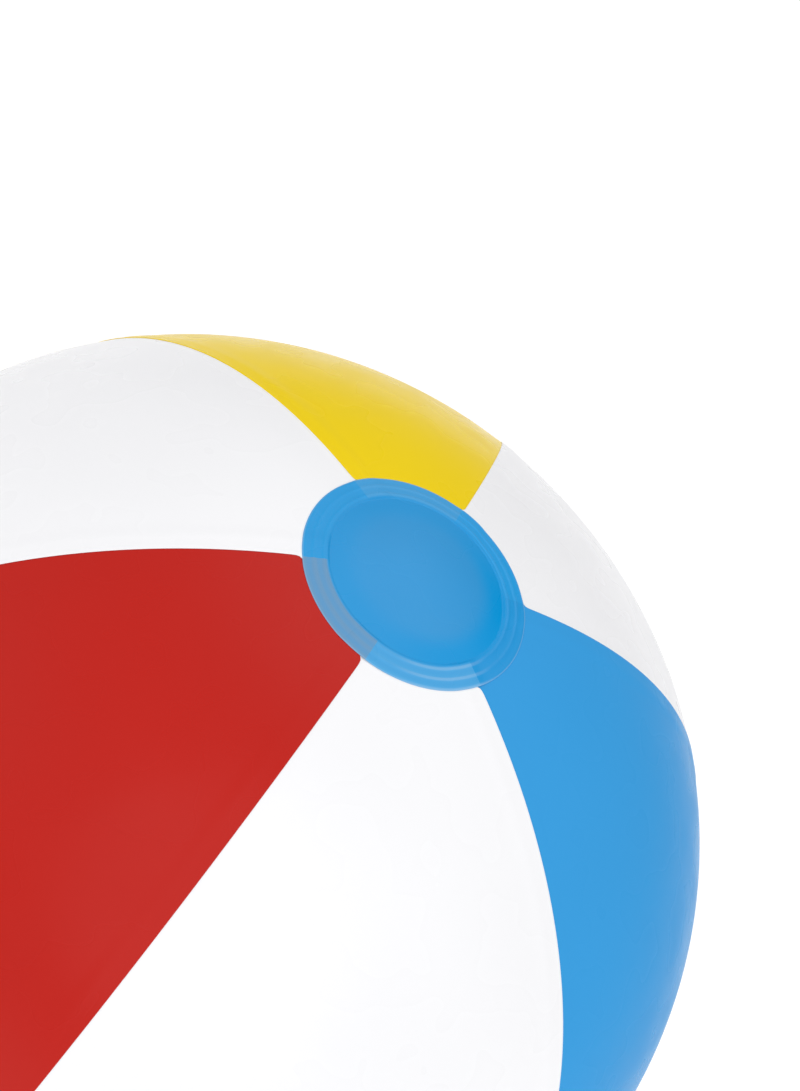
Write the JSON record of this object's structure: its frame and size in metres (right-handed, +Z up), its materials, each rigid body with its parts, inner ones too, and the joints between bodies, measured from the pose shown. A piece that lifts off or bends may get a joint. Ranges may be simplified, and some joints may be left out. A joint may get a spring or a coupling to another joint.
{
  "type": "inflatable beach ball",
  "caption": "Inflated vinyl beach ball of welded coloured panels with a round cap at each pole and a push-in air valve with plug and check flap.",
  "frame": {"origin": "centre of the inflated ball", "axes": "+Z up along the polar axis through both caps; the valve faces -X"},
  "size_m": [0.3416, 0.3408, 0.3218],
  "materials": {
    "red_vinyl": "glossy soft vinyl film",
    "yellow_vinyl": "glossy soft vinyl film",
    "blue_vinyl": "glossy soft vinyl film",
    "white_vinyl": "glossy soft vinyl film",
    "cap_vinyl": "glossy, faintly translucent vinyl film",
    "clear_vinyl": "translucent moulded soft vinyl"
  },
  "bodies": {
    "ball": {"blue_panel": "blue_vinyl", "white_panel_blue_yellow": "white_vinyl", "yellow_panel": "yellow_vinyl", "white_panel_valve": "white_vinyl", "red_panel": "red_vinyl", "white_panel_red_blue": "white_vinyl", "top_cap": "cap_vinyl", "bottom_cap": "cap_vinyl", "valve_flange": "clear_vinyl", "valve_sleeve": "clear_vinyl"},
    "stem": {"valve_stem": "clear_vinyl"},
    "plug": {"valve_plug": "clear_vinyl", "plug_strap": "clear_vinyl"},
    "flap": {"check_flap": "clear_vinyl"}
  },
  "joints": [
    {"name": "stem_slide", "type": "slide", "parent": "ball", "child": "stem", "axis": [-1, 0, 0], "range_m": [0, 0.012], "deforming": ["valve_sleeve"]},
    {"name": "plug_hinge", "type": "hinge", "parent": "stem", "child": "plug", "pos_m": [-0.1706, 0, 0.0086], "axis": [0, 1, 0], "range_deg": [0, 135]},
    {"name": "flap_hinge", "type": "hinge", "parent": "stem", "child": "flap", "pos_m": [-0.1558, 0, 0.0052], "axis": [0, -1, 0], "range_deg": [0, 40]}
  ]
}
